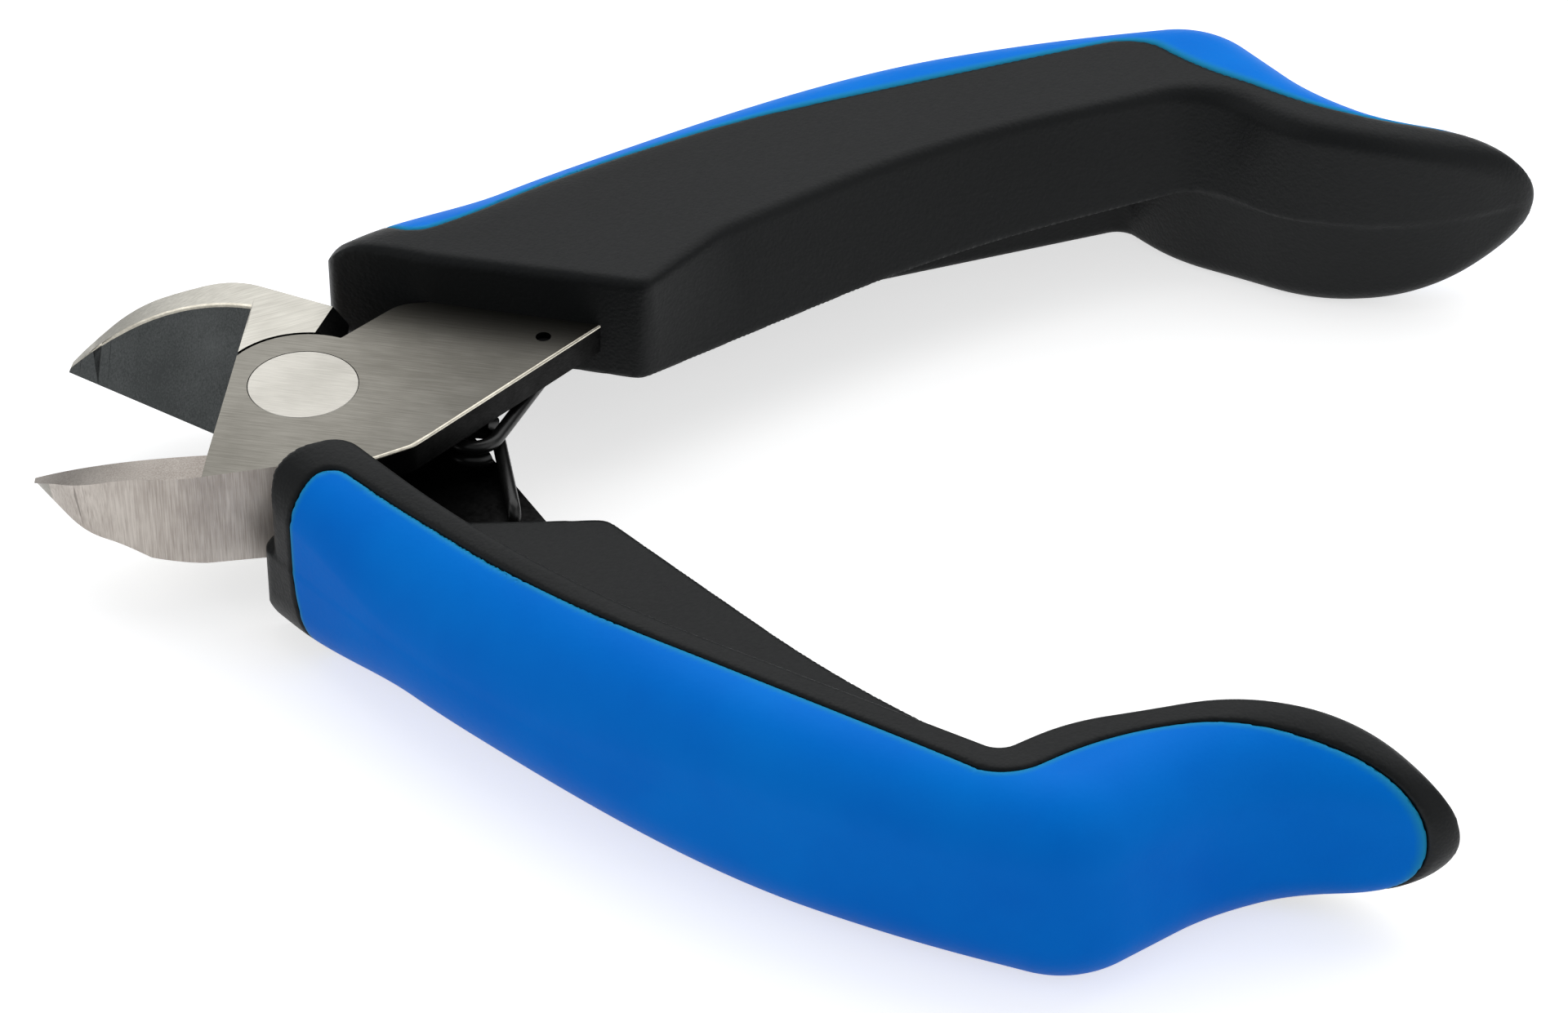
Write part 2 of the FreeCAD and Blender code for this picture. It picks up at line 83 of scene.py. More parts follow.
camera_data = bpy.data.cameras.new("camera")
camera_data.lens = LENS
camera_data.sensor_width = SENSOR
camera_data.sensor_fit = "HORIZONTAL"
camera_data.clip_end = FAR_CLIP
camera = bpy.data.objects.new("camera", camera_data)
bpy.context.scene.collection.objects.link(camera)
spot = pivot + (AIM + backwards * DISTANCE) * MM
turn = Matrix((camera_right, camera_up, backwards)).transposed().to_4x4()
camera.matrix_world = Matrix.Translation(spot) @ turn
bpy.context.scene.camera = camera
print("camera stands", round((spot - pivot).length, 3), "m from the pivot")

# %% [markdown]
# ## Two helpers for materials
#
# Every finish here is a node tree. One helper turns an sRGB hex colour into the linear numbers that
# a shader wants, and one adds a node with its settings and links, so that each material below reads
# as a list of what happens to the light.

# %% Colour and node helpers
def colour(text):
    """An sRGB hex colour as linear red, green, blue and alpha."""
    channels = [int(text[i:i + 2], 16) / 255 for i in (1, 3, 5)]
    linear = [c / 12.92 if c <= 0.04045 else ((c + 0.055) / 1.055) ** 2.4 for c in channels]
    return (*linear, 1.0)


def add(tree, kind, inputs=(), **settings):
    """Adds a node. inputs pairs a socket name or number with a value or with a node's output."""
    node = tree.nodes.new(kind)
    for name, value in settings.items():
        setattr(node, name, value)
    for key, value in dict(inputs).items():
        if isinstance(value, bpy.types.NodeSocket):
            tree.links.new(value, node.inputs[key])
        else:
            node.inputs[key].default_value = value
    return node


def new_material(name):
    """An empty material with its Principled shader wired to the output."""
    material = bpy.data.materials.new(name)
    material.use_nodes = True
    tree = material.node_tree
    tree.nodes.clear()
    shader = tree.nodes.new("ShaderNodeBsdfPrincipled")
    output = tree.nodes.new("ShaderNodeOutputMaterial")
    tree.links.new(shader.outputs[0], output.inputs["Surface"])
    return material, tree, shader


# %% [markdown]
# ## Ground and brushed tool steel
#
# The halves are stamped from plate, surface ground and brushed along their length. Brushing leaves
# fine parallel scratches: reflections smear across them and the grey varies in thin streaks. A noise
# squeezed hard along one axis draws the scratches. It feeds the roughness and a very small bump, and
# a broad, weak noise adds the handling marks. Towards the grip the plate is painted darker: a painted
# reflection of the black grip and painted shade beside it. Metal keeps its default IOR.

# %% Brushed steel
SCRATCH = 0.14 * MM          # width of the scratches, about twice the real width so that they show
SCRATCH_DEPTH = 0.02 * MM
STREAK_RANGE = (0.38, 0.62)  # the part of the noise that goes from the dark grey to the light one
STREAK_ROUGHNESS = (0.10, -0.08)   # what the dark and the light end add to the roughness
# painted reflection of the black grip and painted shade, laid on the plate towards the grip
PAINTED_GRIP_REFLECTION = "#2B2B29"
GRIP_REFLECTION_START = 3 * MM       # behind the pivot
GRIP_REFLECTION_END = 18 * MM


def brushed_steel(name, light, dark, angle, rough, along=(30, 1, 1), bump=0.2, patch=9.0, darkens=0.0):
    """along is how many scratch widths a scratch runs in each direction, once turned by the angle.

    patch is the size of the handling marks in millimetres, and darkens is the strength of the painted
    reflection of the grip, painted shade that darkens the plate towards it.
    """
    material, tree, shader = new_material(name)
    place = add(tree, "ShaderNodeTexCoord").outputs["Object"]
    turned = add(tree, "ShaderNodeVectorRotate", {"Vector": place, "Angle": angle},
                 rotation_type="Z_AXIS").outputs[0]
    squeezed = add(tree, "ShaderNodeVectorMath", {0: turned, 1: [1 / (SCRATCH * a) for a in along]},
                   operation="MULTIPLY").outputs[0]
    scratches = add(tree, "ShaderNodeTexNoise",
                    {"Vector": squeezed, "Scale": 1.0, "Detail": 3.0, "Roughness": 0.6}).outputs[0]
    clouds = add(tree, "ShaderNodeTexNoise",
                 {"Vector": place, "Scale": 1 / (patch * MM), "Detail": 4.0,
                  "Roughness": 0.55}).outputs[0]
    half = add(tree, "ShaderNodeMath", {0: scratches, 1: 0.5}, operation="MULTIPLY").outputs[0]
    mixed = add(tree, "ShaderNodeMath", {0: clouds, 1: 0.5, 2: half}, operation="MULTIPLY_ADD").outputs[0]
    share = add(tree, "ShaderNodeMapRange",
                {"Value": mixed, "From Min": STREAK_RANGE[0], "From Max": STREAK_RANGE[1]}).outputs[0]
    tint = add(tree, "ShaderNodeMix", {0: share, 6: colour(dark), 7: colour(light)},
               data_type="RGBA").outputs[2]
    if darkens:
        along_tool = add(tree, "ShaderNodeSeparateXYZ", {0: place}).outputs["X"]
        painted_reflection = add(tree, "ShaderNodeMapRange",
                      {"Value": along_tool, "From Min": pivot.x + GRIP_REFLECTION_START,
                       "From Max": pivot.x + GRIP_REFLECTION_END, "To Max": darkens},
                      interpolation_type="SMOOTHSTEP").outputs[0]
        tint = add(tree, "ShaderNodeMix", {0: painted_reflection, 6: tint, 7: colour(PAINTED_GRIP_REFLECTION)},
                   data_type="RGBA").outputs[2]
    tree.links.new(tint, shader.inputs["Base Color"])
    wear = add(tree, "ShaderNodeMapRange",
               {"Value": mixed, "To Min": rough + STREAK_ROUGHNESS[0],
                "To Max": rough + STREAK_ROUGHNESS[1]}).outputs[0]
    tree.links.new(wear, shader.inputs["Roughness"])
    relief = add(tree, "ShaderNodeBump",
                 {"Height": scratches, "Strength": bump, "Distance": SCRATCH_DEPTH}).outputs[0]
    tree.links.new(relief, shader.inputs["Normal"])
    shader.inputs["Metallic"].default_value = 1.0
    return material


# The plate is brushed nearly along the tool: a mid grey with long fine streaks.
TILT = math.radians(5)
# darkens paints the plate darker towards the grip: a painted reflection and painted shade
plate_steel = brushed_steel("brushed_tool_steel", "#95928A", "#7C7971", TILT, 0.36, darkens=0.42)

# The rivet's face and the tops of the jaws come straight from the wheel, so they are pale.
JAW_TURN = math.radians(-30)
rivet_steel = brushed_steel("ground_rivet_steel", "#D2CFC7", "#BFBCB4", TILT, 0.40, along=(20, 1, 1))
jaw_steel = brushed_steel("ground_jaw_top", "#DAD7CE", "#BFBCB3", JAW_TURN, 0.40)

# The cutting bevels and the cheeks are ground downwards: upright streaks, darker on the bevels.
BEVEL_TURN = math.radians(64)
bevel_steel = brushed_steel("ground_jaw_bevel", "#727575", "#575A5A", BEVEL_TURN, 0.42,
                            along=(1, 1, 20), bump=0.12)
cheek_steel = brushed_steel("ground_jaw_cheek", "#BDB6AF", "#989089", 0.0, 0.42, along=(1, 1, 25))

# Use polishes the edges, and their near white is also a painted highlight. The wheel never reached
# the faces that keep their black oxide.
worn_highlight_steel = brushed_steel("worn_edge_painted_highlight", "#F4EEDE", "#D2CCBD", 0.0, 0.34,
                           along=(3, 3, 1), bump=0.12, patch=1.5)
oxide_steel = brushed_steel("black_oxide_steel", "#222222", "#0F0F0F", 0.0, 0.48,
                            along=(3, 3, 1), bump=0.12, patch=2.5)
STEELS = [plate_steel, jaw_steel, bevel_steel, cheek_steel, oxide_steel, worn_highlight_steel]
print("steels:", [m.name for m in STEELS + [rivet_steel]])

# %% [markdown]
# ## Two plastics and a blackened wire
#
# The core is glass-filled nylon, moulded in a tool whose walls are spark-eroded: black, hard and
# finely pebbled, so it has a broad weak sheen. The sleeve is a thermoplastic rubber moulded over it:
# satin and a little grainy, with a lighter cyan painted along its thin edge as painted light shining
# through the rubber. The grain is a Voronoi and noise bump sized in real tenths of a millimetre. The
# spring wire is chemically blackened.

# %% Plastics and black wire
GRAIN = 0.28 * MM
GRAIN_DEPTH = 0.05 * MM
CLOUD = 14 * MM          # size of the faint patches in the colour
SHEEN_SPREAD = 0.07      # how far the roughness strays to either side


def moulded_plastic(name, light, dark, rough, grain, bump, gloss, seam_glow=None):
    """seam_glow is a painted glow on the sleeve's edge, light shining through the thin rubber; its mesh
    marks the edge with the attribute seam.
    """
    material, tree, shader = new_material(name)
    place = add(tree, "ShaderNodeTexCoord").outputs["Object"]
    pebbles = add(tree, "ShaderNodeTexVoronoi", {"Vector": place, "Scale": 1 / grain},
                  feature="SMOOTH_F1").outputs["Distance"]
    fine = add(tree, "ShaderNodeTexNoise",
               {"Vector": place, "Scale": 0.6 / grain, "Detail": 4.0}).outputs[0]
    height = add(tree, "ShaderNodeMath", {0: pebbles, 1: fine}, operation="ADD").outputs[0]
    clouds = add(tree, "ShaderNodeTexNoise",
                 {"Vector": place, "Scale": 1 / CLOUD, "Detail": 3.0}).outputs[0]
    share = add(tree, "ShaderNodeMapRange", {"Value": clouds, "From Min": 0.3, "From Max": 0.7}).outputs[0]
    tint = add(tree, "ShaderNodeMix", {0: share, 6: colour(dark), 7: colour(light)},
               data_type="RGBA").outputs[2]
    if seam_glow:
        seam = add(tree, "ShaderNodeAttribute", attribute_name="seam").outputs["Fac"]
        tint = add(tree, "ShaderNodeMix", {0: seam, 6: tint, 7: colour(seam_glow)},
                   data_type="RGBA").outputs[2]
    tree.links.new(tint, shader.inputs["Base Color"])
    sheen = add(tree, "ShaderNodeMapRange",
                {"Value": fine, "To Min": rough - SHEEN_SPREAD,
                 "To Max": rough + SHEEN_SPREAD}).outputs[0]
    tree.links.new(sheen, shader.inputs["Roughness"])
    relief = add(tree, "ShaderNodeBump",
                 {"Height": height, "Strength": bump, "Distance": GRAIN_DEPTH}).outputs[0]
    tree.links.new(relief, shader.inputs["Normal"])
    shader.inputs["IOR"].default_value = 1.50
    shader.inputs["Specular IOR Level"].default_value = gloss
    return material


hard_plastic = moulded_plastic("spark_textured_nylon", "#17191A", "#121415", 0.50, GRAIN, 0.55, 0.22)
# seam_glow is a painted glow: light that the thin rubber edge lets through
soft_plastic = moulded_plastic("satin_blue_rubber", "#008CFF", "#0080F6", 0.48, GRAIN * 1.2, 0.20, 0.05,
                               seam_glow="#2CA4CC")
black_wire = moulded_plastic("blackened_spring_wire", "#161616", "#0B0B0B", 0.30, GRAIN * 2, 0.1, 0.5)
print("plastics:", hard_plastic.name, soft_plastic.name, black_wire.name)

# %% [markdown]
# ## The grips as distance fields
#
# Each grip is moulded in two shots: a hard black core round the steel tang, then a soft blue sleeve
# over its palm side. Moulded parts have flat faces, soft edges of many radii and a few creases. Such
# a shape is easy to write as a distance field, a function that is negative inside the plastic. Two
# fields meet with a rounded edge of any radius, so every fillet is one number.
#
# The plan view comes first: closed outlines of straight runs and rounded corners, in millimetres
# from the pivot, for the upper grip. The lower grip is the same moulding turned over.

# %% Outlines of the upper grip
import numpy as np

# Each corner is x, y and its radius. The wide half's wall leans, so it has an outline at its foot and
# one at its top. The back wall is the palm side that all of them share.
BACK_WALL = [(107.6, 46.6, 1.4), (107.4, 48.9, 1.4), (89.6, 48.6, 17), (76.2, 61.9, 9.6),
             (32.4, 49.6, 145), (-0.9, 17.8, 2.0)]
WIDE_FOOT = BACK_WALL + [(0.0, 15.4, 1.2), (9.6, 13.3, 25), (28.9, 10.7, 2.2), (54.1, 33.0, 120),
                         (75.9, 45.4, 5), (84.0, 41.0, 12), (96.5, 40.2, 26)]
WIDE_TOP = BACK_WALL + [(0.0, 15.4, 1.2), (9.6, 13.6, 25), (29.6, 11.4, 1.6), (35.0, 20.4, 8),
                        (53.2, 36.4, 90), (76.6, 48.0, 8), (85.0, 41.6, 12), (96.5, 40.8, 26)]
NARROW = BACK_WALL[:-1] + [(-1.3, 17.3, 2.5), (6.2, 13.1, 3.0), (25.5, 30.9, 120), (68.3, 51.2, 2),
                           (73.4, 46.6, 20), (86.4, 41.2, 25), (97.2, 41.0, 20)]
BULLNOSE = BACK_WALL[2:] + [(-3.4, 5, 6), (20, -22, 8), (128, 10, 8), (128, 48.6, 8)]
PALM = [(1.8, 21.2, 3.4), (5.5, 17.1, 2.6), (27.8, 34.6, 120), (69.3, 55.2, 5), (81.8, 44.4, 28),
        (125, 47.4, 2), (125, 75, 2), (1.8, 75, 2)]
OUTLINES = (WIDE_FOOT, WIDE_TOP, NARROW, BULLNOSE, PALM)
print("outline corners:", [len(outline) for outline in OUTLINES])

# %% [markdown]
# A rounded outline is a chain of straight runs and arcs. The distance to it is the distance to the
# nearest run or arc, and its sign says on which side of that piece a point lies. The values are
# stored once on a fine grid and read back by blending the four nearest, which is fast enough to ask
# for millions of times.

# %% Distance to an outline
MAP_LOW = np.array([-6.0, 6.0])
MAP_HIGH = np.array([113.0, 66.0])
MAP_STEP = 0.12


def runs_and_arcs(corners):
    """The outline anticlockwise, as runs (start, end) and arcs (centre, radius, start, end, left)."""
    points = np.array([c[:2] for c in corners], float)
    radii = np.array([c[2] for c in corners], float)
    ahead = np.roll(points, -1, axis=0)
    if np.sum(points[:, 0] * ahead[:, 1] - ahead[:, 0] * points[:, 1]) < 0:
        points, radii = points[::-1], radii[::-1]
    arcs = []
    for i, here in enumerate(points):
        back = points[i - 1] - here
        on = points[(i + 1) % len(points)] - here
        back /= np.linalg.norm(back)
        on /= np.linalg.norm(on)
        half = math.acos(np.clip(back @ on, -1, 1)) / 2
        middle = (back + on) / np.linalg.norm(back + on)
        cut = radii[i] / math.tan(half)
        left = on[0] * back[1] - on[1] * back[0] > 0
        centre = here + middle * radii[i] / math.sin(half)
        arcs.append((centre, radii[i], here + back * cut, here + on * cut, left))
    runs = [(arcs[i - 1][3], arcs[i][2]) for i in range(len(arcs))]
    return runs, arcs


def outline_distance(corners, x, y):
    """Signed distance from each point to the outline, negative inside."""
    runs, arcs = runs_and_arcs(corners)
    best = np.full(x.shape, 1e9)
    signed = np.full(x.shape, 1e9)
    for start, end in runs:
        along = end - start
        length = np.linalg.norm(along)
        along = along / length
        dx, dy = x - start[0], y - start[1]
        s = np.clip(dx * along[0] + dy * along[1], 0, length)
        gap = np.hypot(dx - s * along[0], dy - s * along[1])
        side = np.where(along[0] * dy - along[1] * dx > 0, -1.0, 1.0)
        closer = gap < best
        best = np.where(closer, gap, best)
        signed = np.where(closer, side * gap, signed)
    for centre, radius, start, end, left in arcs:
        middle = (start + end) / 2 - centre
        reach = np.linalg.norm(middle)
        dx, dy = x - centre[0], y - centre[1]
        far = np.hypot(dx, dy)
        in_wedge = (dx * middle[0] + dy * middle[1]) / reach >= far * (reach / radius)
        gap = np.abs(far - radius)
        side = np.where((far > radius) == left, 1.0, -1.0)
        closer = in_wedge & (gap < best)
        best = np.where(closer, gap, best)
        signed = np.where(closer, side * gap, signed)
    return signed


def distance_map(corners):
    """A function of x and y that reads the outline's signed distance from a stored grid."""
    axes = [np.arange(low, high + MAP_STEP, MAP_STEP) for low, high in zip(MAP_LOW, MAP_HIGH)]
    stored = outline_distance(corners, *np.meshgrid(*axes, indexing="ij"))

    def read(x, y):
        u = np.clip((x - MAP_LOW[0]) / MAP_STEP, 0, len(axes[0]) - 1.001)
        v = np.clip((y - MAP_LOW[1]) / MAP_STEP, 0, len(axes[1]) - 1.001)
        i, j = u.astype(int), v.astype(int)
        u, v = u - i, v - j
        return ((stored[i, j] * (1 - u) + stored[i + 1, j] * u) * (1 - v)
                + (stored[i, j + 1] * (1 - u) + stored[i + 1, j + 1] * u) * v)

    return read


wide_foot, wide_top, narrow, bullnose, palm = [distance_map(outline) for outline in OUTLINES]
print("stored", len(OUTLINES), "outlines at", MAP_STEP, "mm")

# %% [markdown]
# The plan outlines become a solid with the side view: level faces 10 mm above and below the joint,
# then a falling ellipse that closes the lobe. The wide half lies above the parting plane and holds
# the tang, and its inner wall leans outwards as it rises. The narrow half lies below. A big bullnose
# rounds the palm side, most of all at the nose.

# %% The moulded solid as one field
HALF = 10.0            # half of the grip's thickness
PARTING = -0.3         # height of the plane between the wide half and the narrow half
TAPER_START = 84.0     # from here to its end the lobe thins
LOBE_END = 107.3
EDGE = 0.9             # radius of the grip's edges, and what is added to it round the lobe
LOBE_EDGE = 1.0
PARTING_EDGE = 0.35    # radius of the wide half's edge at the parting plane
PALM_EDGE = 6.0        # radius of the palm side, what the grip adds to it and what the lobe takes off
GRIP_PALM_EDGE = 3.3
LOBE_PALM_EDGE = 3.0


def meet(a, b, radius):
    """Inside both fields, with the edge between them rounded."""
    return (np.minimum(np.maximum(a, b), -radius)
            + np.hypot(np.maximum(a + radius, 0), np.maximum(b + radius, 0)))


def join(a, b, radius):
    """Inside either field, with the inside corner between them filled."""
    return -meet(-a, -b, radius)


def ease(x, start, end):
    """0 before start, 1 after end and a smooth rise between them."""
    t = np.clip((x - start) / (end - start), 0, 1)
    return t * t * (3 - 2 * t)


def side_view(x, z):
    """Distance in side view: level up to the taper, then half an ellipse that closes the lobe."""
    run = LOBE_END - TAPER_START
    u = np.maximum(x - TAPER_START, 0) / run
    v = z / HALF
    spread_out = np.hypot(u, v) + 1e-9
    return spread_out * (spread_out - 1) / (np.hypot(u / run, v / HALF) + 1e-9)


def grip_field(x, y, z):
    """The whole grip, core and sleeve together."""
    edge = EDGE + LOBE_EDGE * ease(x, 66, 84)
    level = side_view(x, z)
    rise = np.clip((z - PARTING) / (HALF - PARTING), 0, 1)
    wall = wide_foot(x, y) * (1 - rise) + wide_top(x, y) * rise
    wide = meet(meet(wall, level, edge), PARTING - z, PARTING_EDGE)
    rim = narrow(x, y)
    slim = np.maximum(meet(rim, level, edge), z - 1.0)
    both = join(wide, slim, np.clip((rim - wall) * 0.4, 0, 0.5))
    palm_round = PALM_EDGE + GRIP_PALM_EDGE * ease(x, 2, 14) - LOBE_PALM_EDGE * ease(x, 20, 52)
    palm_round = palm_round * (1 - 0.5 * ease(x, 90, 105))
    return np.maximum(both, meet(bullnose(x, y), level, palm_round))


# %% [markdown]
# Then the grip is parted. The sleeve is the palm side, 2.6 mm thick, and its edge stands a hair
# back with a small radius, which gives the fine shadow line that two-shot mouldings have. The core
# is everything else, with a tongue that fills the sleeve.

# %% Sleeve and core
SLEEVE_WALL = 2.6
FIT = 0.06             # gap between the two plastics, where nobody sees it
TIP_REACH = 20.4       # the sleeve's rounded end, from where the lobe starts to thin
TIP_HEIGHT = 12.5
TIP_EDGE = 3.5
SLEEVE_EDGE = 0.3      # radius of both plastics where they meet
NOSE_LEAN = 1.5        # how far the sleeve's front end leans back at its wide side
BEND_SHIFT = 1.0       # how far its edge moves outwards at the bend, on the wide side


def palm_region(x, y, z):
    """The sleeve's plan outline, ended by a curve that follows the nose and one that follows the tip."""
    back = NOSE_LEAN * ease(z, -1.0, 9.0) * (1 - ease(x, 8, 20))
    out = BEND_SHIFT * ease(z, -2.0, 2.0) * ease(x, 68, 80) * (1 - ease(x, 80, 88))
    plan = palm(x - back, y - out)
    across = (x - TAPER_START) / TIP_REACH
    tip = np.hypot(np.maximum(across, 0), z / TIP_HEIGHT)
    return meet(plan, (tip - 1) * TIP_HEIGHT, TIP_EDGE)


def sleeve_field(x, y, z):
    grip = grip_field(x, y, z)
    shell = np.maximum(grip, -(grip + SLEEVE_WALL))
    return meet(shell, palm_region(x, y, z), SLEEVE_EDGE)


def core_field(x, y, z):
    grip = grip_field(x, y, z)
    body = meet(grip, -palm_region(x, y, z) + FIT, SLEEVE_EDGE)
    return np.minimum(body, grip + SLEEVE_WALL + FIT)


# %% [markdown]
# A field becomes a mesh with a surface net. Space is cut into small cubes, each cube that the
# surface passes through gets one point, and points of neighbouring cubes are joined by squares. The
# points are then evened out and pulled exactly onto the surface, so that the plastic shades smoothly.

# %% Surface net
NET_STEP = 0.36


def slope(field, p, h=0.02):
    """The field's slope at each point, from its values a small step to either side."""
    steps = np.eye(3) * h
    return np.stack([(field(*(p + s).T) - field(*(p - s).T)) / (2 * h) for s in steps], axis=1)


def surface_net(field, low, high):
    """Points and squares where the field is zero, inside the box from low to high."""
    axes = [np.arange(a, b + NET_STEP, NET_STEP) for a, b in zip(low, high)]
    values = field(*np.meshgrid(*axes, indexing="ij"))
    cells = tuple(n - 1 for n in values.shape)
    total = np.zeros(cells + (3,))
    count = np.zeros(cells)
    for axis in range(3):
        others = [a for a in range(3) if a != axis]
        for da in (0, 1):
            for db in (0, 1):
                start = [0, 0, 0]
                start[others[0]], start[others[1]] = da, db
                end = list(start)
                end[axis] = 1
                a = values[tuple(slice(s, s + n) for s, n in zip(start, cells))]
                b = values[tuple(slice(s, s + n) for s, n in zip(end, cells))]
                crossed = (a < 0) != (b < 0)
                t = np.where(crossed, a / np.where(crossed, a - b, 1), 0)
                for other, offset in zip(others, (da, db)):
                    total[..., other] += crossed * offset
                total[..., axis] += t
                count += crossed
    used = count > 0
    number = np.full(cells, -1)
    number[used] = np.arange(used.sum())
    points = (np.argwhere(used) + total[used] / count[used][:, None]) * NET_STEP + low
    quads = []
    for axis in range(3):
        b, c = [(axis + 1) % 3, (axis + 2) % 3]
        here = [slice(1, -1)] * 3
        here[axis] = slice(0, cells[axis])
        ahead = list(here)
        ahead[axis] = slice(1, cells[axis] + 1)
        inside, beyond = values[tuple(here)] < 0, values[tuple(ahead)] < 0
        at = np.argwhere(inside != beyond) + np.eye(3, dtype=int)[b] + np.eye(3, dtype=int)[c]
        flip = beyond[inside != beyond]
        ring = [at - np.eye(3, dtype=int)[b] - np.eye(3, dtype=int)[c], at - np.eye(3, dtype=int)[c], at,
                at - np.eye(3, dtype=int)[b]]
        ids = np.stack([number[tuple(r.T)] for r in ring], axis=1)
        ids[flip] = ids[flip][:, ::-1]
        quads.append(ids)
    return points, np.concatenate(quads)


def settle(field, points, quads, rounds=3):
    """Even out the points along the surface, and pull them back onto it."""
    pairs = np.concatenate([quads[:, [i, (i + 1) % 4]] for i in range(4)])
    count = np.bincount(pairs.ravel(), minlength=len(points))[:, None]
    for step in range(rounds):
        if step < rounds - 1:
            near = np.stack([np.bincount(pairs[:, 0], points[pairs[:, 1], a], len(points))
                             + np.bincount(pairs[:, 1], points[pairs[:, 0], a], len(points))
                             for a in range(3)], axis=1) / count
            points = points + (near - points) * 0.5
        for _ in range(3):
            g = slope(field, points)
            pull = field(*points.T)[:, None] * g / np.maximum((g * g).sum(1), 0.25)[:, None]
            points = points - np.clip(pull, -NET_STEP, NET_STEP)
    return points


def moulding(name, points, quads, turned, material):
    """A mesh object in the row frame; turned is the same moulding turned over for the lower lever."""
    hand = np.array([1, -1, -1]) if turned else np.ones(3)
    place = points * hand * MM + np.array(pivot)
    mesh = bpy.data.meshes.new(name)
    mesh.from_pydata(place.tolist(), [], quads.tolist())
    mesh.polygons.foreach_set("use_smooth", np.ones(len(quads), bool))
    mesh.materials.append(material)
    piece = bpy.data.objects.new(name, mesh)
    bpy.context.scene.collection.objects.link(piece)
    return piece


SEAM_WIDTH = 0.7       # the thin edge of the sleeve, where the rubber lets light through
GRIP_LOW, GRIP_HIGH = (-3.0, 8.0, -11.2), (109.5, 64.5, 11.2)
for part, field, material in [("core", core_field, hard_plastic), ("sleeve", sleeve_field, soft_plastic)]:
    points, quads = surface_net(field, GRIP_LOW, GRIP_HIGH)
    points = settle(field, points, quads)
    seam = np.clip(1 - np.abs(palm_region(*points.T)) / SEAM_WIDTH, 0, 1)
    for lever, turned in [("upper", False), ("lower", True)]:
        piece = moulding("%s_grip_%s_moulding" % (lever, part), points, quads, turned, material)
        piece.data.attributes.new("seam", "FLOAT", "POINT").data.foreach_set("value", seam)
        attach(piece, lever + "_lever")
        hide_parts("%s_grip_%s" % (lever, part))
    print(part, "has", len(quads), "squares from", points.min(0).round(2), "to", points.max(0).round(2))

# %% [markdown]
# ## The steel halves
#
# Each half is forged, ground flat on its outer faces and ground again on the jaw. Everything that
# the wheel didn't reach keeps its black oxide. The frame already has the true shape, so its
# mesh is copied, its loose triangles are merged, and flat areas become single faces. Then each face
# gets the finish that its place says, and the sharp edges get a small worn bevel that catches light.
# Grinding by hand leaves no flat wall quite flat, so the copy is also reshaped, by about 2 mm at
# most: the shoulder behind each jaw slopes down to the grip, and the jaws are fuller near the tips.

# %% Copy a steel half and sort its faces
PLATE, JAW_TOP, BEVEL, CHEEK, OXIDE, WORN_HIGHLIGHT = range(len(STEELS))
OUTER_LEVEL = 5.0      # half of the head's thickness
ON_LEVEL = 0.05        # a face this near to a level lies on it
STEP = -6.6            # just behind the wall where the bevels end
JAW_END = 1.2          # just behind the ground face of each jaw
FACING = 0.15          # how far a face's normal must lean sideways to count as a wall


def finish_of(centre, normal, jaw_side):
    """Which steel a face shows; jaw_side is -1 for the jaw at -Y and 1 for the jaw at +Y."""
    outward = normal.y * jaw_side
    on_jaw_side = centre.y * jaw_side > 0 and centre.x < JAW_END
    if centre.x < STEP and outward < -FACING:
        return BEVEL
    if normal.z * jaw_side > 0.9 and on_jaw_side and centre.z * jaw_side > OUTER_LEVEL - ON_LEVEL:
        return JAW_TOP
    if centre.x < STEP and normal.z > 0.3:
        return JAW_TOP if jaw_side > 0 else CHEEK
    if abs(normal.z) > 0.9 and abs(abs(centre.z) - OUTER_LEVEL) < ON_LEVEL:
        return PLATE
    if centre.x < STEP and abs(normal.z) > 0.3:
        return PLATE
    if on_jaw_side and outward > FACING and centre.x < 0:
        return CHEEK
    return OXIDE


# %% Cut a copy across
def from_pivot(point):
    return (point - pivot) / MM


def cut_across(bm, faces, place, normal):
    """Cut these faces, with their edges and corners, by a plane."""
    parts = set(faces) | {e for f in faces for e in f.edges} | {v for f in faces for v in f.verts}
    bmesh.ops.bisect_plane(bm, geom=list(parts), dist=1e-6, plane_co=place, plane_no=normal)


def rise(value, start, end):
    """The same smooth rise as ease, for one number."""
    t = min(max((value - start) / (end - start), 0.0), 1.0)
    return t * t * (3 - 2 * t)


# %% Relieve the shoulder
SHOULDER_TOP = Vector((0.75, 12.3))      # the ground face ends on the line through these two points
SHOULDER_FOOT = Vector((0.0, 9.0))
SHOULDER_DROP = 1.8
SHOULDER_REACH = 1.25
SHOULDER_START = 0.3                     # what is moved lies behind this x,
SHOULDER_SIDES = (7.8, 13.0)             # between these two distances from the tool's middle,
SHOULDER_LEVEL = -0.5                    # and above this height


def relieve_shoulder(bm, jaw_side):
    """Cut the ground face along a slanting line and slope what is behind it down to the grip."""
    along = (SHOULDER_TOP - SHOULDER_FOOT).normalized()
    across = Vector((along.y, -along.x * jaw_side, 0))
    foot = Vector((SHOULDER_FOOT.x, SHOULDER_FOOT.y * jaw_side, 0)) * MM + pivot
    near = [f for f in bm.faces if from_pivot(f.calc_center_median()).y * jaw_side > 7]
    cut_across(bm, near, foot, across)
    for vert in bm.verts:
        here = from_pivot(vert.co)
        behind = (vert.co - foot).dot(across) / MM
        in_band = SHOULDER_SIDES[0] < here.y * jaw_side < SHOULDER_SIDES[1]
        at_end = here.x > SHOULDER_START and in_band and here.z * jaw_side > SHOULDER_LEVEL
        if behind > 0.02 and at_end:
            vert.co.x += SHOULDER_REACH * MM
            if here.z * jaw_side > OUTER_LEVEL - ON_LEVEL:
                vert.co.z -= SHOULDER_DROP * MM * jaw_side


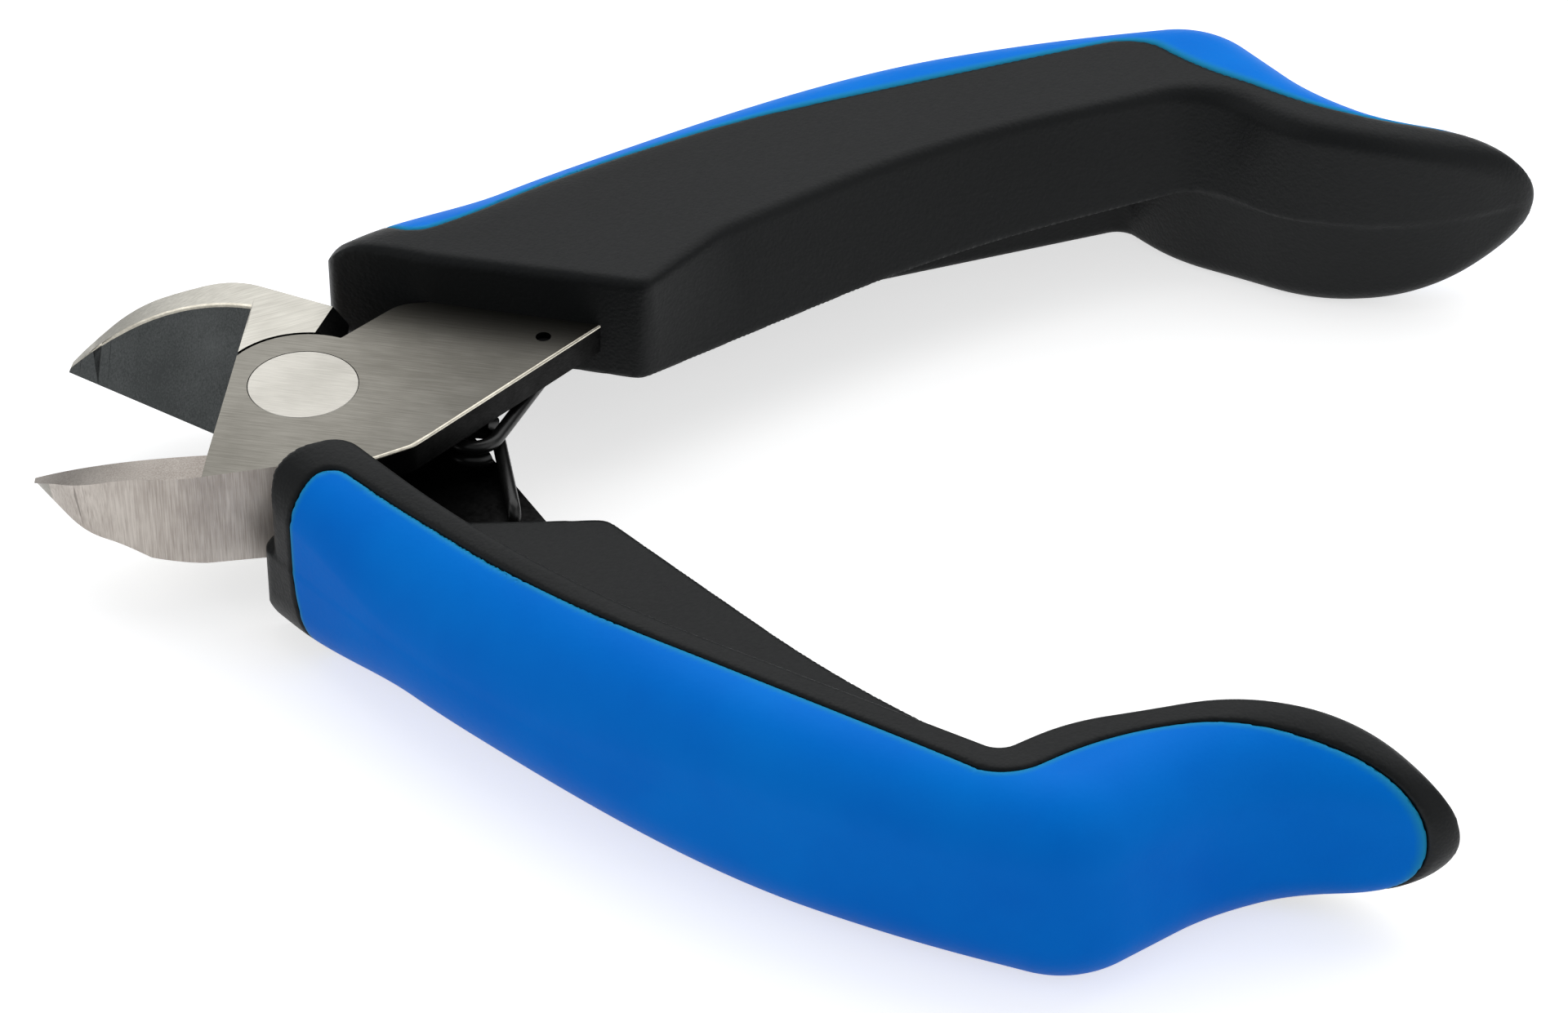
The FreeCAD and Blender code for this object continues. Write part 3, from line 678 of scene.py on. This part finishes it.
# %% Fill out the jaws
SLICES = 18              # cuts across each jaw, so that its long faces can bend
FIRST_SLICE = -24.0
SLICE_STEP = 0.9
FULLNESS = 0.85          # how far the outer wall comes out
FULL_IN = (-24.4, -22.6)     # it comes in from the tip between these two x,
FULL_OUT = (-11.0, -20.0)    # and from the joint between these
BELLY_LIFT = 0.85        # how far the underside of the jaw at -Y is ground up
BELLY_IN = (-19.5, -14.5)
BELLY_OUT = (-2.5, -10.5)
BELLY_DEPTH = (-2.2, -4.8)   # it comes in between these two heights


def fill_out_jaw(bm, jaw_side):
    """Make the jaw's outer wall fuller near its tip, and grind up the underside of the jaw at -Y."""
    for i in range(SLICES):
        jaw = [f for f in bm.faces if from_pivot(f.calc_center_median()).x < STEP]
        wall = pivot + Vector((FIRST_SLICE + i * SLICE_STEP, 0, 0)) * MM
        cut_across(bm, jaw, wall, (1, 0, 0))
    bm.normal_update()
    outer, ground = set(), set()
    for face in bm.faces:
        outward = face.normal.y * jaw_side
        beyond = from_pivot(face.calc_center_median()).y * jaw_side > 6
        if outward > FACING and abs(face.normal.z) < 0.3 and beyond:
            outer.update(face.verts)
        if outward < -FACING:
            ground.update(face.verts)
    for vert in bm.verts:
        here = from_pivot(vert.co)
        if vert in outer and vert not in ground:
            fuller = rise(here.x, *FULL_IN) * rise(here.x, *FULL_OUT)
            vert.co.y += FULLNESS * jaw_side * fuller * MM
        if jaw_side < 0 and here.y < -3:
            belly = rise(here.x, *BELLY_IN) * rise(here.x, *BELLY_OUT) * rise(here.z, *BELLY_DEPTH)
            vert.co.z += BELLY_LIFT * belly * MM


# %% Wear the edges
WORN_WIDTH = 0.24
WORN_SHARPNESS = math.radians(28)     # a softer edge than this isn't worn
RIM_END = -23.0                       # the worn rim of a bevel thins out to nothing at this x
RIM_FADE = 4.0
TANG_START = 5.0
SPRING_HOLE = Vector((20.3, 9.3))     # where the hole for the spring's end is in each tang
NEAR_HOLE = 1.5                       # edges this near to its middle stay sharp


def wear(edge, jaw_side):
    """How much of the worn width an edge gets, from 0 to 1."""
    if not edge.is_convex or edge.calc_face_angle(0) < WORN_SHARPNESS:
        return 0.0
    middle = from_pivot((edge.verts[0].co + edge.verts[1].co) / 2)
    kinds = {face.material_index for face in edge.link_faces}
    if kinds == {BEVEL, JAW_TOP}:
        return min(max((middle.x - RIM_END) / RIM_FADE, 0.0), 1.0)
    back_face = any(f.normal.x > 0.1 and f.normal.y * jaw_side > 0.2 for f in edge.link_faces)
    in_hole = (Vector((abs(middle.x), abs(middle.y))) - SPRING_HOLE).length < NEAR_HOLE
    if PLATE in kinds and back_face and middle.x > TANG_START and not in_hole:
        return 1.0
    return 0.0


# %% Ground and worn copies of both halves
MERGE = 0.002 * MM
FLAT = math.radians(0.6)              # faces that turn by less than this become one
CREASE = math.radians(24)             # an edge sharper than this is shaded as a sharp one


def steel_half(node, jaw_side):
    """The copy of one blade node, reshaped, with a finish for each face and worn edges."""
    bm = bmesh.new()
    bm.from_mesh(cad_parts[node].data)
    bmesh.ops.remove_doubles(bm, verts=bm.verts, dist=MERGE)
    bmesh.ops.dissolve_limit(bm, angle_limit=FLAT, verts=bm.verts, edges=bm.edges)
    relieve_shoulder(bm, jaw_side)
    fill_out_jaw(bm, jaw_side)
    bm.normal_update()
    for face in bm.faces:
        centre = from_pivot(face.calc_center_median())
        face.material_index = finish_of(centre, face.normal, jaw_side)
        face.smooth = face.material_index != BEVEL
    weight = bm.edges.layers.float.new("bevel_weight_edge")
    for edge in bm.edges:
        edge.smooth = edge.calc_face_angle(0) < CREASE
        edge[weight] = wear(edge, jaw_side)
    mesh = bpy.data.meshes.new(node + "_ground")
    bm.to_mesh(mesh)
    bm.free()
    for material in STEELS:
        mesh.materials.append(material)
    piece = bpy.data.objects.new(node + "_ground", mesh)
    bpy.context.scene.collection.objects.link(piece)
    bevel = piece.modifiers.new("worn_edges", "BEVEL")
    bevel.limit_method = "WEIGHT"
    bevel.width = WORN_WIDTH * MM
    bevel.segments = 2
    bevel.use_clamp_overlap = False
    bevel.harden_normals = True
    # the worn bevel gets the near white steel: real wear and a painted highlight along the edge
    bevel.material = WORN_HIGHLIGHT
    return piece


for node, lever, jaw_side in [("upper_blade", "upper_lever", -1), ("lower_blade", "lower_lever", 1)]:
    piece = steel_half(node, jaw_side)
    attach(piece, lever)
    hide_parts(node)
    print(piece.name, "has", len(piece.data.polygons), "faces")

# %% [markdown]
# ## The rivet
#
# The rivet is turned from bar, pressed in and ground flush with the joint, so its face is brighter
# than the plate and has its own grinding direction. A profile spun round the pivot axis makes it. The
# tiny chamfer round each face leaves the fine dark ring that shows where rivet and plate part.

# %% Turned rivet
RIVET_SIDES = 128
HEAD = 5.0               # radii of the rivet's head, shank and tail
SHANK = 3.6
TAIL = 4.5
SEAT = 3.6               # height of the two seats, above and below the joint
CHAMFER = 0.07
FACE_EDGE = OUTER_LEVEL - CHAMFER
RIVET_PROFILE = [(0.0, OUTER_LEVEL), (HEAD - CHAMFER, OUTER_LEVEL), (HEAD, FACE_EDGE), (HEAD, SEAT),
                 (SHANK, SEAT), (SHANK, -SEAT), (TAIL, -SEAT), (TAIL, -FACE_EDGE),
                 (TAIL - CHAMFER, -OUTER_LEVEL), (0.0, -OUTER_LEVEL)]


def turned_rivet():
    bm = bmesh.new()
    rings = []
    for radius, height in RIVET_PROFILE:
        if radius == 0:
            rings.append([bm.verts.new(pivot + Vector((0, 0, height)) * MM)])
            continue
        ring = []
        for i in range(RIVET_SIDES):
            a = 2 * math.pi * i / RIVET_SIDES
            point = Vector((radius * math.cos(a), radius * math.sin(a), height))
            ring.append(bm.verts.new(pivot + point * MM))
        rings.append(ring)
    for upper, lower in zip(rings, rings[1:]):
        for i in range(RIVET_SIDES):
            j = (i + 1) % RIVET_SIDES
            corners = [upper[i % len(upper)], lower[i % len(lower)],
                       lower[j % len(lower)], upper[j % len(upper)]]
            bm.faces.new(list(dict.fromkeys(corners)))      # a ring of one point gives triangles
    bmesh.ops.recalc_face_normals(bm, faces=bm.faces)
    mesh = bpy.data.meshes.new("pivot_rivet_turned")
    bm.to_mesh(mesh)
    bm.free()
    mesh.materials.append(rivet_steel)
    return bpy.data.objects.new("pivot_rivet_turned", mesh)


rivet = turned_rivet()
bpy.context.scene.collection.objects.link(rivet)
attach(rivet, "lower_lever")
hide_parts("pivot_rivet")
print(rivet.name, "has", len(rivet.data.polygons), "faces")

# %% [markdown]
# ## The spring
#
# One wire makes the spring: a bent end in each tang's hole, two legs and a coil between them. Its
# path is a chain of points, and Geometry Nodes turn the path into round wire, so that the wire's
# diameter is one named input. The spring bends in use, so it is made as two arms that meet at the
# coil, and each arm turns about the hole that holds it.

# %% Path of one spring arm
WIRE = 1.3
COIL_CENTRE = Vector((15.3, 0.0))
COIL_RADIUS = 2.2
COIL_TURN = math.radians(298)
COIL_STEPS = 60
ANCHOR = Vector((SPRING_HOLE.x, -SPRING_HOLE.y))
HOOK_END = -4.4
HOOK_BEND = 1.2
HOOK_STEPS = 8
HOOK_LEAD = 0.8          # straight wire left below the bend
ARM_GAP = 0.075          # from the joint's middle plane to each arm
ARM_LEVEL = -WIRE / 2 - ARM_GAP


def arm_path():
    """From the bent end in the lower tang, along the leg and round the coil, in millimetres."""
    across = ANCHOR - COIL_CENTRE
    start = math.atan2(across.y, across.x) + math.acos(COIL_RADIUS / across.length)
    touch = COIL_CENTRE + Vector((math.cos(start), math.sin(start))) * COIL_RADIUS
    leg = (touch - ANCHOR).normalized()
    points = [Vector((*ANCHOR, HOOK_END)), Vector((*ANCHOR, ARM_LEVEL - HOOK_BEND - HOOK_LEAD))]
    for i in range(HOOK_STEPS + 1):
        a = math.pi / 2 * i / HOOK_STEPS
        flat = ANCHOR + leg * HOOK_BEND * (1 - math.cos(a))
        points.append(Vector((*flat, ARM_LEVEL - HOOK_BEND * (1 - math.sin(a)))))
    points += [Vector((*(ANCHOR + (touch - ANCHOR) * t), ARM_LEVEL)) for t in (0.3, 0.5, 0.7, 0.9)]
    for i in range(COIL_STEPS + 1):
        a = start + COIL_TURN * i / COIL_STEPS
        flat = COIL_CENTRE + Vector((math.cos(a), math.sin(a))) * COIL_RADIUS
        points.append(Vector((*flat, ARM_LEVEL)))
    return points


print("the arm's path has", len(arm_path()), "points")

# %% Geometry Nodes that draw wire along a path
WIRE_SIDES = 24
WIRE_MERGE = 0.001 * MM


def wire_tree():
    tree = bpy.data.node_groups.new("wire_along_path", "GeometryNodeTree")
    face = tree.interface
    face.new_socket("Geometry", in_out="INPUT", socket_type="NodeSocketGeometry")
    diameter = face.new_socket("Wire diameter", in_out="INPUT", socket_type="NodeSocketFloat")
    sides = face.new_socket("Sides", in_out="INPUT", socket_type="NodeSocketInt")
    face.new_socket("Geometry", in_out="OUTPUT", socket_type="NodeSocketGeometry")
    entry = add(tree, "NodeGroupInput")
    path = add(tree, "GeometryNodeMeshToCurve", {"Mesh": entry.outputs["Geometry"]})
    radius = add(tree, "ShaderNodeMath", {0: entry.outputs["Wire diameter"], 1: 0.5}, operation="MULTIPLY")
    ring = add(tree, "GeometryNodeCurvePrimitiveCircle",
               {"Resolution": entry.outputs["Sides"], "Radius": radius.outputs[0]})
    wire = add(tree, "GeometryNodeCurveToMesh", {"Curve": path.outputs["Curve"],
                                                 "Profile Curve": ring.outputs["Curve"],
                                                 "Fill Caps": True})
    shaded = add(tree, "GeometryNodeSetShadeSmooth", {"Geometry": wire.outputs["Mesh"]})
    real = add(tree, "GeometryNodeRealizeInstances", {"Geometry": shaded.outputs[0]})
    paint = add(tree, "GeometryNodeSetMaterial", {"Geometry": real.outputs[0], "Material": black_wire})
    add(tree, "NodeGroupOutput", {"Geometry": paint.outputs[0]})
    return tree, diameter.identifier, sides.identifier


def spring_arm(name, hand):
    """hand is 1 for the lower arm, and -1 for the same arm turned over."""
    points = [Vector((p.x, p.y * hand, p.z * hand)) * MM + pivot for p in arm_path()]
    path = bpy.data.meshes.new(name + "_path")
    path.from_pydata(points, [(i, i + 1) for i in range(len(points) - 1)], [])
    carrier = bpy.data.objects.new(name + "_path", path)
    bpy.context.scene.collection.objects.link(carrier)
    modifier = carrier.modifiers.new("wire", "NODES")
    modifier.node_group = wire_nodes
    modifier[diameter_input] = WIRE * MM
    modifier[sides_input] = WIRE_SIDES
    evaluated = carrier.evaluated_get(bpy.context.evaluated_depsgraph_get())
    made = bpy.data.meshes.new_from_object(evaluated)
    bpy.data.objects.remove(carrier)
    bm = bmesh.new()
    bm.from_mesh(made)
    bmesh.ops.remove_doubles(bm, verts=bm.verts, dist=WIRE_MERGE)
    bmesh.ops.recalc_face_normals(bm, faces=bm.faces)
    bm.to_mesh(made)
    bm.free()
    made.name = name
    piece = bpy.data.objects.new(name, made)
    bpy.context.scene.collection.objects.link(piece)
    return piece


wire_nodes, diameter_input, sides_input = wire_tree()
for side, hand in [("lower", 1), ("upper", -1)]:
    arm = spring_arm("spring_%s_wire" % side, hand)
    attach(arm, "spring_" + side)
    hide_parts("spring_%s_arm" % side)
    print(arm.name, "has", len(arm.data.polygons), "faces")

# %% [markdown]
# ## The studio
#
# A plain floor of pale card, one very large soft lamp from above and behind, and a weaker one
# from each side. The large lamp is no brighter than white paper, so that steel which mirrors it doesn't
# burn out. The card shows as white to the camera and in reflections, yet it still takes the shadow, so
# the brightness comes from its own colour and not from more light on the tool.

# %% Floor and world
FLOOR_SIZE = 4.0          # metres, as every length here
CARD_GLOW = 0.66          # with the light it takes, the card just reaches white
WORLD_LIGHT = 0.27


def make_floor():
    mesh = bpy.data.meshes.new("studio_floor")
    half = FLOOR_SIZE / 2
    mesh.from_pydata([(-half, -half, 0), (half, -half, 0), (half, half, 0), (-half, half, 0)], [],
                     [(0, 1, 2, 3)])
    floor = bpy.data.objects.new("studio_floor", mesh)
    bpy.context.scene.collection.objects.link(floor)
    return floor


def white_card():
    """Card that takes shadows, with a little light of its own for the camera and for reflections."""
    material, tree, shader = new_material("white_studio_card")
    seen = add(tree, "ShaderNodeLightPath")
    either = add(tree, "ShaderNodeMath", {0: seen.outputs["Is Camera Ray"],
                                          1: seen.outputs["Is Glossy Ray"]}, operation="MAXIMUM")
    shown = add(tree, "ShaderNodeMath", {0: either.outputs[0],
                                         1: seen.outputs["Is Transmission Ray"]}, operation="MAXIMUM")
    glow = add(tree, "ShaderNodeMath", {0: shown.outputs[0], 1: CARD_GLOW}, operation="MULTIPLY")
    tree.links.new(glow.outputs[0], shader.inputs["Emission Strength"])
    shader.inputs["Base Color"].default_value = colour("#E8E8E8")
    shader.inputs["Emission Color"].default_value = colour("#FFFFFF")
    shader.inputs["Roughness"].default_value = 0.9
    return material


floor = make_floor()
floor.data.materials.append(white_card())

world = bpy.data.worlds.new("studio")
bpy.context.scene.world = world
world.use_nodes = True
background = world.node_tree.nodes["Background"]
background.inputs["Color"].default_value = colour("#F4F6F8")
background.inputs["Strength"].default_value = WORLD_LIGHT
print("floor is", FLOOR_SIZE, "m wide; its card glows at", CARD_GLOW, "and the world at", WORLD_LIGHT)

# %% Lamps, each with its place, size and power in watts
LAMPS = [("lamp_above", (0.05, 0.55, 0.75), (1.8, 1.2), 7.5),
         ("lamp_left", (-0.7, -0.35, 0.45), (0.8, 0.8), 1.05),
         ("lamp_right", (0.7, -0.35, 0.45), (0.8, 0.8), 1.05)]

for name, place, size, power in LAMPS:
    data = bpy.data.lights.new(name, "AREA")
    data.shape = "RECTANGLE"
    data.size, data.size_y = size
    data.energy = power
    lamp = bpy.data.objects.new(name, data)
    bpy.context.scene.collection.objects.link(lamp)
    lamp.location = place
    lamp.rotation_euler = (-Vector(place)).to_track_quat("-Z", "Y").to_euler()

bpy.context.scene.view_settings.view_transform = "Standard"
print("lamps:", [lamp[0] for lamp in LAMPS])
